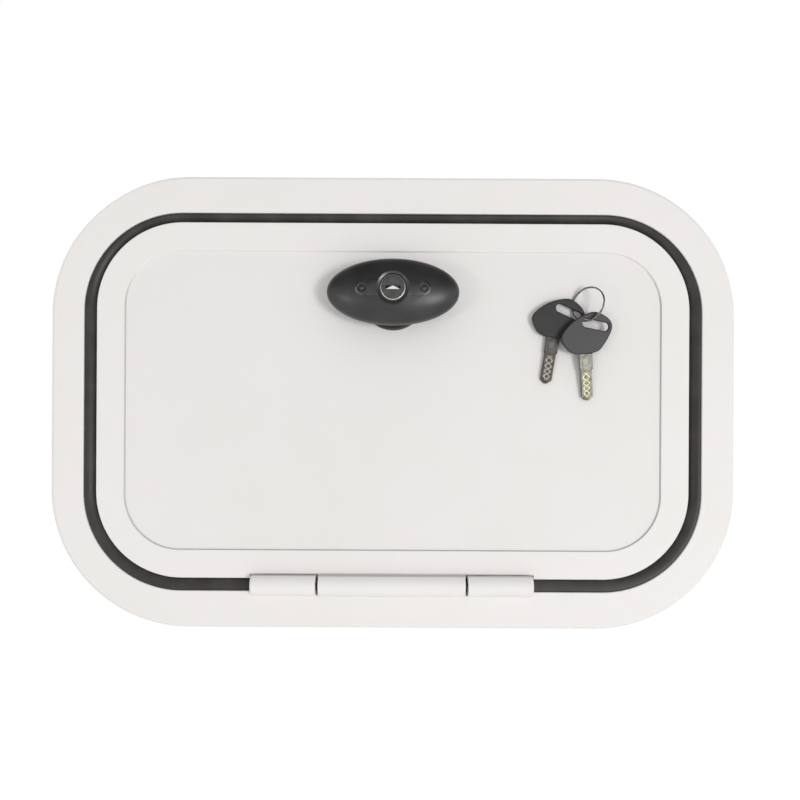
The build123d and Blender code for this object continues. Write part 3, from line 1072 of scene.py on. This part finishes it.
class Lock(bpy.types.Operator):
    """Fit the lock's winged surround, its two pins, plug and shutter"""

    bl_idname = "luggage_door.lock"
    bl_label = "Lock"

    def execute(self, context):
        project = context.scene.luggage_door
        settings = project.lock
        self.make_surround(settings, grip_dome(project.handle))
        self.make_plug(settings)
        self.make_shutter()
        return {"FINISHED"}

    def make_surround(self, settings, dome):
        low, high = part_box("lock_surround")
        plug_low, plug_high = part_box("lock_plug")
        half_length = (high.x - low.x) / 2
        rim = (high.z - low.z) / 2
        bore = (plug_high.x - plug_low.x) / 2 + FIT
        pit_x = half_length - settings.pit_inset
        skirt, fall = 2.5 * MM, 0.9 * settings.wing_proud
        inner = rim - 0.04 * MM
        turns = wing_turns()

        def wing_reach(turn):
            return stadium_reach(turn, half_length, settings.wing_half_width)

        def wing_top(x, z):
            away = math.hypot(abs(x) - pit_x, z) / settings.pit_radius
            pit = settings.pit_depth * (1 - min(1.0, away) ** 4)
            return dome.front(x, z) - settings.wing_proud + pit

        def stepped_in(by):
            return [max(size - by, inner) for size in edge]

        edge = [max(rim, wing_reach(turn)) for turn in turns]
        levels = [(edge, lambda x, z: dome.front(x, z) + skirt)]
        for down, by in rounding(1.0, steps=6):
            drop = down * fall
            reach = stepped_in(by * settings.wing_edge)
            levels.append((reach, lambda x, z, drop=drop: wing_top(x, z) + drop))
        top = stepped_in(settings.wing_edge + 0.1 * MM)
        wing_steps = 44
        for step in range(wing_steps + 1):
            part = step / wing_steps
            levels.append(([size + (inner - size) * part for size in top], wing_top))
        for away, drop in rounding(settings.rim_round, steps=4):
            levels.append((inner - drop, low.y + away))
        land = inner - settings.rim_round - settings.funnel_land
        throat, throat_foot = bore + settings.throat_gap, low.y + 3 * MM
        levels += [(land, low.y), (throat, low.y + settings.funnel_depth)]
        levels += [(throat, throat_foot), (bore, throat_foot), (bore, high.y)]
        mesh = mesh_of("winged_surround", *loft(handle_rings(turns, levels), closed=True))
        mesh.materials.append(lock_trim())
        # A band of pale steel along the wings' edges: a painted highlight along them
        highlight_start, highlight_end = 0.04 * settings.wing_edge, 0.75 * settings.wing_edge

        def rubbed_edge(x, _y, z):
            across, up = x - HANDLE_AXIS.x, z - HANDLE_AXIS.z
            away = math.hypot(across, up)
            inset = wing_reach(math.atan2(up, across)) - away
            return away > rim + 0.3 * MM and highlight_start < inset < highlight_end

        finish_faces(mesh, ring_steel(), rubbed_edge)
        add_piece("winged_surround", mesh, None, "handle", "black_plastic", "lock_surround")
        for name, side in (("surround_pin_left", -1), ("surround_pin_right", 1)):
            self.make_pin(name, side * pit_x, dome, settings)

    def make_pin(self, name, x, dome, settings):
        """A small domed pin in a wing's pit."""
        radius, height = settings.pit_radius * 0.62, 1.05 * MM
        root, lift = 0.5 * MM, 0.05 * MM
        floor = dome.front(x, 0) - settings.wing_proud + settings.pit_depth
        steps, turns = 7, around(24)
        rings = [handle_ring(turns, radius, floor + root, x)]
        for step in range(steps):
            turn = step / steps * math.pi / 2
            depth = floor - height * math.sin(turn) - lift
            rings.append(handle_ring(turns, radius * math.cos(turn), depth, x))
        mesh = mesh_of(name, *loft(rings))
        add_piece(name, mesh, lock_trim(), "handle", "black_plastic")

    def make_plug(self, settings):
        low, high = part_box("lock_plug")
        slot_low, slot_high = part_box("keyway_shutter")
        radius = (high.x - low.x) / 2
        half_length = (slot_high.x - slot_low.x) / 2 + FIT
        half_width = (slot_high.z - slot_low.z) / 2 + FIT
        turns = around(TURN_STEPS)
        keyway = [stadium_reach(turn, half_length, half_width) for turn in turns]
        front, lip = low.y, 0.2 * MM
        neck = radius - settings.face_slim
        face = neck - settings.plug_chamfer
        bevel_foot, neck_foot = front + 0.4 * settings.plug_chamfer, front + settings.face_neck
        levels = [(keyway, front + settings.keyway_depth), (keyway, front + lip)]
        levels += [([size + lip for size in keyway], front)]
        levels += [(face - 1.1 * MM, front), (face - 0.6 * MM, front)]
        levels += [(face - 0.3 * MM, front + 0.25 * MM), (face, front)]
        levels += [(neck - 0.08 * MM, bevel_foot), (neck, bevel_foot + 0.1 * MM)]
        levels += [(neck, neck_foot), (radius, neck_foot), (radius, high.y)]
        mesh = mesh_of("lock_face", *loft(handle_rings(turns, levels)))
        mesh.materials.append(lock_zinc())

        # Bright plate on the bevel round the face: wear to bare metal, and a painted highlight on
        # the rim
        def worn_edge(x, y, z):
            away = math.hypot(x - HANDLE_AXIS.x, z - HANDLE_AXIS.z)
            on_bevel = face + 0.1 * MM < away < neck - 0.09 * MM
            return on_bevel and y < front + settings.plug_chamfer

        finish_faces(mesh, plated_steel(), worn_edge)
        add_piece("lock_face", mesh, None, "lock", "cast_zinc", "lock_plug")

    def make_shutter(self):
        """The keyway's flap: a bright facet that looks down, between two darker ones."""
        low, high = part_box("keyway_shutter")
        half_x, half_z = (high.x - low.x) / 2, (high.z - low.z) / 2
        front, sunk = low.y - 0.75 * MM, low.y - 0.25 * MM
        upper = sunk + 1 * MM
        corners = ((-0.94, sunk, -0.9), (0.94, sunk, -0.9), (-0.8, upper, 0.9), (0.8, upper, 0.9))
        points = [on_handle(0.0, front, half_z * 0.95)]
        points += [on_handle(half_x * x, depth, half_z * z) for x, depth, z in corners]
        points += [Vector((point.x, high.y, point.z)) for point in points[1:]]
        faces = [(0, 1, 2), (0, 3, 1), (0, 2, 4), (0, 4, 3)]
        faces += [(1, 3, 7, 5), (3, 4, 8, 7), (4, 2, 6, 8), (2, 1, 5, 6), (5, 7, 8, 6)]
        mesh = mesh_of("keyway_flap", points, faces)
        add_piece("keyway_flap", mesh, bright_steel(), "lock", "plated_steel", "keyway_shutter")


def hexagon_reach(turn, flats):
    """Distance from a hexagon's middle to its edge."""
    return flats / 2 / math.cos(math.remainder(turn, math.pi / 3))


class Latch(bpy.types.Operator):
    """Make the cam and the chamfered nuts, and finish the tube and the spindle"""

    bl_idname = "luggage_door.latch"
    bl_label = "Latch"

    def execute(self, _context):
        for node in ("latch_spindle", "latch_body_tube"):
            finish_node(node, plated_steel())
        tube_low, tube_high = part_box("latch_body_tube")
        stud = 4 * MM + FIT
        self.make_nut("back_nut", "latch_back_nut", "door", (tube_high.x - tube_low.x) / 2 + FIT)
        self.make_nut("cam_lock_nut", "cam_nut", "handle", stud)
        low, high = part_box("latch_cam")
        half_width = (high.z - low.z) / 2
        reach = HANDLE_AXIS.x - low.x - half_width
        hole = slot_outline((0.0, 0.0), (0.0001 * MM, 0.0), stud)
        arm = slot_outline((-reach, 0.0), (0.0, 0.0), half_width, 20)
        mesh = plate_mesh("cam_plate", [arm, hole[::-1]], high.y - low.y, 0.35 * MM)
        place = Matrix.Translation(on_handle(0.0, (low.y + high.y) / 2, 0.0))
        add_piece(
            "cam_plate", mesh, plated_steel(), "handle", "plated_steel", "latch_cam", matrix=place
        )
        return {"FINISHED"}

    def make_nut(self, name, node, body, bore):
        """A hexagon nut with both faces chamfered."""
        low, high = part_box(node)
        flats = high.z - low.z
        face = flats / 2 - 0.2 * MM
        chamfer, slope = 0.9 * MM, 0.58
        turns = around(120)
        sides = [hexagon_reach(turn - math.pi / 2, flats) for turn in turns]

        def fall(x, z):
            return min(chamfer, (math.hypot(x, z) - face) * slope)

        levels = [(bore, low.y), (face, low.y), (sides, lambda x, z: low.y + fall(x, z))]
        levels += [(sides, lambda x, z: high.y - fall(x, z)), (face, high.y), (bore, high.y)]
        mesh = mesh_of(name, *loft(handle_rings(turns, levels), closed=True))
        add_piece(name, mesh, plated_steel(), body, "plated_steel", node)


# The bow's outline, its slot and the blade's track, pad and tip,
# in mm across and up from the middle of the bow's foot
BOW_OUTLINE = [
    (5.0, 0.6), (11.5, 3.6), (19.6, 16.0), (18.4, 23.6), (9.7, 29.4),
    (1.8, 29.0), (-9.6, 23.2), (-17.6, 13.2), (-13.0, 3.8), (-7.0, 0.6),
]
BOW_SLOT = ((1.2, 22.4), (14.6, 18.8))
TRACK_WAVES = [
    (-1.5, -12.8), (2.2, -16.5), (-2.2, -20.4), (2.1, -24.2), (-1.9, -27.8), (0.9, -30.6),
]
TRACK_HALF_WIDTH = 0.75
SHANK_PAD = 4.4
TIP_HALF_WIDTH = 1.0
TIP_LENGTH = 2.6
# Foot of each bow in x and z in mm, then its lean, tilt and roll in degrees
KEY_PLACES = {
    "front": (139.4, 34.9, -4.3, 8.717, -4.166),
    "rear": (116.4, 47.1, 9.1, 2.899, -2.144),
}
RING_TURN = math.radians(39.563)
RING_PITCH = math.radians(-7.091)


def scaled(points):
    return [(x * MM, z * MM) for x, z in points]


def cut(mesh, cutters):
    """The mesh less the cutters; the cut faces take the cutters' finishes."""
    holder = new_object("blank", mesh)
    tools = [new_object("cutter", cutter) for cutter in cutters]
    for tool in tools:
        step = holder.modifiers.new("cut", "BOOLEAN")
        step.operation = "DIFFERENCE"
        step.solver = "EXACT"
        step.material_mode = "TRANSFER"
        step.object = tool
    return clean_mesh(evaluated_mesh(holder, *tools))


class Keys(bpy.types.Operator):
    """Cut the two keys and lay them where they hang"""

    bl_idname = "luggage_door.keys"
    bl_label = "Keys"

    def execute(self, context):
        settings = context.scene.luggage_door.keys
        for key, (x, z, *turns) in KEY_PLACES.items():
            lean, tilt, roll = map(math.radians, turns)
            turn = Matrix.Rotation(lean, 4, "Y") @ Matrix.Rotation(tilt, 4, "X")
            turn = turn @ Matrix.Rotation(-roll, 4, "Z")
            name = f"{key}_key"
            bow = self.bow_mesh(f"{name}_head", settings)
            blade = self.blade_mesh(f"{name}_steel", key, settings)
            rear = max((turn @ v.co).y for mesh in (bow, blade) for v in mesh.vertices)
            rest = max(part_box(f"{name}_bow")[1].y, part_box(f"{name}_blade")[1].y)
            place = Matrix.Translation((x * MM, rest - rear, z * MM)) @ turn
            for part, mesh, finish, slot, node in (
                ("head", bow, key_head(key), "key_head_plastic", f"{name}_bow"),
                ("steel", blade, key_nickel(key), "key_blade_metal", f"{name}_blade"),
            ):
                add_piece(f"{name}_{part}", mesh, finish, "door", slot, node, matrix=place)
        return {"FINISHED"}

    def bow_mesh(self, name, settings):
        outline = spline_points(scaled(BOW_OUTLINE), 9)
        slot = slot_outline(*scaled(BOW_SLOT), settings.slot_half_width)
        return plate_mesh(name, [outline, slot[::-1]], settings.bow_thickness, settings.bow_round)

    def blade_mesh(self, name, key, settings):
        half, long = settings.blade_half_width, settings.blade_length
        foot = BOW_OUTLINE[0][1] * MM
        shank, shank_end = settings.shank_half_width, foot - settings.shank_length
        shoulder, edge_round = 0.5 * MM, 0.3 * MM
        side = [(shank, foot), (shank, shank_end + shoulder), (half, shank_end)]
        side += [(half, TIP_LENGTH * MM - long), (TIP_HALF_WIDTH * MM, -long)]
        outline = side + [(-x, z) for x, z in reversed(side)]
        blank = plate_mesh(name, [outline], settings.blade_thickness, edge_round)
        blank.materials.append(key_nickel(key))
        line = spline_points(scaled(TRACK_WAVES), 8)
        wave = [(x + TRACK_HALF_WIDTH * MM, z) for x, z in line]
        wave += [(x - TRACK_HALF_WIDTH * MM, z) for x, z in reversed(line)]
        mirrored = [(-x, z) for x, z in reversed(wave)]
        middle = foot - settings.shank_length / 2
        pad = SHANK_PAD / 2 * MM
        low, high = middle - pad, middle + pad
        square = [(-pad, low), (pad, low), (pad, high), (-pad, high)]
        cutter_size, cutter_edge = 2 * MM, 0.02 * MM
        depth = settings.blade_thickness / 2 - settings.track_depth + cutter_size / 2
        track, ground = key_track(key), key_pad(key)
        cutters = []
        for shape, finish in ((wave, track), (mirrored, track), (square, ground)):
            for face in (-1, 1):
                cutter = plate_mesh("cutter", [shape], cutter_size, cutter_edge)
                cutter.materials.append(finish)
                cutter.transform(Matrix.Translation((0.0, face * depth, 0.0)))
                cutters.append(cutter)
        return cut(blank, cutters)


class KeyRing(bpy.types.Operator):
    """Wind the split ring through both bows"""

    bl_idname = "luggage_door.key_ring"
    bl_label = "Key ring"

    def execute(self, context):
        settings = context.scene.luggage_door.keys
        low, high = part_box("key_ring")
        wire = settings.ring_wire
        wide, tall = wire * 0.9, wire * 0.96
        steps, windings = 220, 2 * 0.997
        cross_start, cross_length = 0.47, 0.06
        rings = []
        for step in range(steps + 1):
            part = step / steps
            turn = part * windings * math.tau
            crossing = min(1.0, max(0.0, (part - cross_start) / cross_length))
            lift = wire * (2 * (3 * crossing**2 - 2 * crossing**3) - 1)
            ring = []
            for here in around(10):
                radius = settings.ring_radius + wide * math.cos(here)
                x, y = radius * math.cos(turn), radius * math.sin(turn)
                ring.append(Vector((x, y, lift + tall * math.sin(here))))
            rings.append(ring)
        mesh = mesh_of("split_ring", *loft(rings))
        turn = Matrix.Rotation(-RING_TURN, 4, "Z") @ Matrix.Rotation(RING_PITCH, 4, "X")
        place = Matrix.Translation((low + high) / 2) @ turn @ Matrix.Rotation(math.pi / 2, 4, "X")
        add_piece(
            "split_ring", mesh, ring_steel(), "door", "plated_steel", "key_ring", matrix=place
        )
        return {"FINISHED"}


WHITE = (1.0, 1.0, 1.0, 1.0)
FLOOR_GREY = (0.86, 0.86, 0.85, 1.0)
FLOOR_HALF = 15.0
# Glow of the floor as the camera sees it, and how much of it shows over the floor's own shading
FLOOR_GLOW = 1.13
GLOW_SHARE = 0.82
# Painted dark reflection: the glow of the sheet overhead
DARK_REFLECTION_GREY = (0.1, 0.1, 0.1, 1.0)
FLAG_CORNERS = ((-2.5, -3.0), (2.5, 1.2))
FLAG_HEIGHT = 1.1
# Each lamp's name, setting for its power, place and size in metres
LAMPS = (
    ("key_lamp", "key_power", (2.45, -4.5, -0.95), 1.3),
    ("glint_lamp", "glint_power", (-1.9, -2.3, -0.6), 0.22),
    ("rim_lamp", "rim_power", (-1.8, 1.2, 1.8), 0.8),
)


class Stage(bpy.types.Operator):
    """Set the floor, the soft light of the room, the lamps and the camera"""

    bl_idname = "luggage_door.stage"
    bl_label = "Stage"

    def execute(self, context):
        settings = context.scene.luggage_door.stage
        context.scene.view_settings.view_transform = "Standard"
        self.lay_floor(settings)
        self.light_room(settings)
        self.hang_lamps(settings)
        self.hang_flag()
        self.place_camera(settings)
        return {"FINISHED"}

    def seen_directly(self, finish):
        """1 for what the camera sees straight, mirrored or through glass."""
        camera, glossy, transmission = (
            finish.node("ShaderNodeLightPath", output=f"Is {ray} Ray")
            for ray in ("Camera", "Glossy", "Transmission")
        )
        seen = camera + glossy + transmission
        return finish.node("ShaderNodeMath", {"operation": "MINIMUM"}, {0: seen, 1: 1.0})

    def glow(self, finish, paint, strength):
        return finish.node("ShaderNodeEmission", sockets={"Color": paint, "Strength": strength})

    def level_sheet(self, name, low, high, height, finish, surface):
        """A level sheet between two corners, with its finish closed by a surface."""
        finish.node("ShaderNodeOutputMaterial", sockets={"Surface": surface})
        mesh = bpy.data.meshes.new(name)
        corners = (low, (high[0], low[1]), high, (low[0], high[1]))
        mesh.from_pydata([(x, y, height) for x, y in corners], [], [(0, 1, 2, 3)])
        mesh.materials.append(finish.owner)
        return new_object(name, mesh)

    def lay_floor(self, settings):
        finish = Finish(bpy.data.materials.new("pale_floor"))
        matt = finish.node("ShaderNodeBsdfDiffuse", sockets={"Color": FLOOR_GREY})
        pale = self.glow(finish, WHITE, FLOOR_GLOW)
        seen = self.seen_directly(finish) * GLOW_SHARE
        surface = finish.node("ShaderNodeMixShader", sockets={0: seen, 1: matt, 2: pale})
        low, high = (-FLOOR_HALF, -FLOOR_HALF), (FLOOR_HALF, FLOOR_HALF)
        floor = self.level_sheet("floor", low, high, -settings.floor_drop, finish, surface)

    def light_room(self, settings):
        world = bpy.data.worlds.new("room")
        bpy.context.scene.world = world
        finish = Finish(world)
        level = settings.room_light
        strength = level + self.seen_directly(finish) * (1.0 - level)
        sockets = {"Color": WHITE, "Strength": strength}
        light = finish.node("ShaderNodeBackground", sockets=sockets)
        finish.node("ShaderNodeOutputWorld", sockets={"Surface": light})

    def hang_lamps(self, settings):
        for name, power_setting, place, size in LAMPS:
            lamp = bpy.data.lights.new(name, "AREA")
            lamp.size = size
            lamp.energy = getattr(settings, power_setting)
            holder = new_object(name, lamp)
            holder.location = place
            holder.rotation_mode = "QUATERNION"
            holder.rotation_quaternion = (-holder.location).to_track_quat("-Z", "Y")
            holder.visible_camera = False

    def hang_flag(self):
        """A dark glowing sheet overhead, met by mirrored rays alone: a painted dark reflection, for
        depth in the black parts.
        """
        finish = Finish(bpy.data.materials.new("dark_cloth"))
        dark_reflection = self.glow(finish, DARK_REFLECTION_GREY, 1.0)
        flag = self.level_sheet("flag", *FLAG_CORNERS, FLAG_HEIGHT, finish, dark_reflection)
        flag.visible_camera = flag.visible_diffuse = flag.visible_shadow = False
        flag.visible_transmission = flag.visible_volume_scatter = False

    def place_camera(self, settings):
        camera = bpy.data.cameras.new("camera")
        holder = new_object("camera", camera)
        bpy.context.scene.camera = holder
        camera.lens = camera.sensor_width * settings.camera_distance / settings.view_width
        aside = settings.camera_left / settings.view_width
        camera.shift_x = 0.5 - MIDDLE_COLUMN / IMAGE_SIDE + aside
        camera.shift_y = UPWARD_SHIFT / IMAGE_SIDE
        holder.location = (-settings.camera_left, -settings.camera_distance, -settings.camera_low)
        holder.rotation_euler = (math.pi / 2, 0.0, 0.0)
        holder.rotation_euler.rotate_axis("Z", settings.roll)


STEPS = (FrameMoulding, RubberSeal, DoorPanel, Hinge, Handle, Lock, Latch, Keys, KeyRing, Stage)
GROUPS = (
    FrameSettings, SealSettings, DoorSettings, HingeSettings, HandleSettings,
    LockSettings, KeySettings, StageSettings, DoorProject,
)


class LuggageDoorPanel(bpy.types.Panel):
    """Lists the pieces and their sizes"""

    bl_idname = "VIEW3D_PT_luggage_door"
    bl_label = "Luggage Door"
    bl_space_type = "VIEW_3D"
    bl_region_type = "UI"
    bl_category = "Luggage Door"

    def draw(self, context):
        project = context.scene.luggage_door
        for group in DoorProject.__annotations__:
            box = self.layout.box()
            box.label(text=group.capitalize())
            settings = getattr(project, group)
            for name in settings.__annotations__:
                box.prop(settings, name)
        for step in STEPS:
            self.layout.operator(step.bl_idname)


CLASSES = (*GROUPS, *STEPS, LuggageDoorPanel)


def register():
    for made in CLASSES:
        bpy.utils.register_class(made)
    bpy.types.Scene.luggage_door = PointerProperty(type=DoorProject)


def unregister():
    del bpy.types.Scene.luggage_door
    for made in reversed(CLASSES):
        bpy.utils.unregister_class(made)


def main():
    register()
    for step in STEPS:
        group, name = step.bl_idname.split(".")
        getattr(getattr(bpy.ops, group), name)()


if __name__ == "__main__":
    main()
